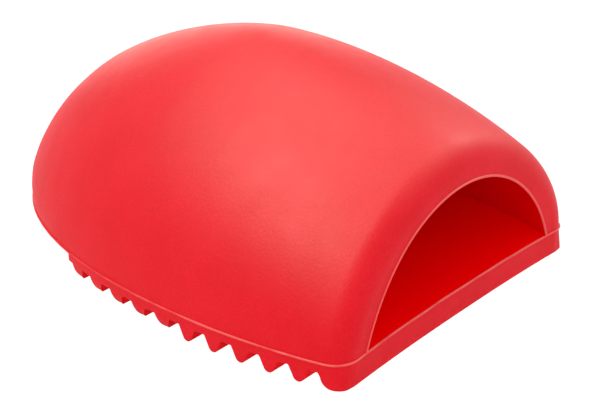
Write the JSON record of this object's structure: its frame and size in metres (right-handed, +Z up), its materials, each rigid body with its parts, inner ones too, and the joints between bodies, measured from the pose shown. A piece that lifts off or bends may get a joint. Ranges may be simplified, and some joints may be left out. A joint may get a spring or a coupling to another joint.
{
  "type": "rubber curry brush",
  "caption": "Hollow rubber finger brush shaped like half an egg, with a D-shaped finger mouth at the flat end and a ridged scrubbing pad underneath.",
  "frame": {"origin": "on the ground under the middle of the brush's box, on its plane of symmetry", "axes": "+Z up from the ridges to the dome, +Y from the finger mouth towards the closed tip, +X across the brush"},
  "size_m": [0.0564, 0.0744, 0.0316],
  "materials": {
    "hood_rubber": "matte soft red silicone rubber",
    "bead_rubber": "matte soft red silicone rubber, thin enough to look paler",
    "pad_rubber": "matte soft red silicone rubber"
  },
  "bodies": {
    "root": {"finger_hood": "hood_rubber", "seam_bead": "bead_rubber", "scrub_pad": "pad_rubber"}
  },
  "joints": []
}
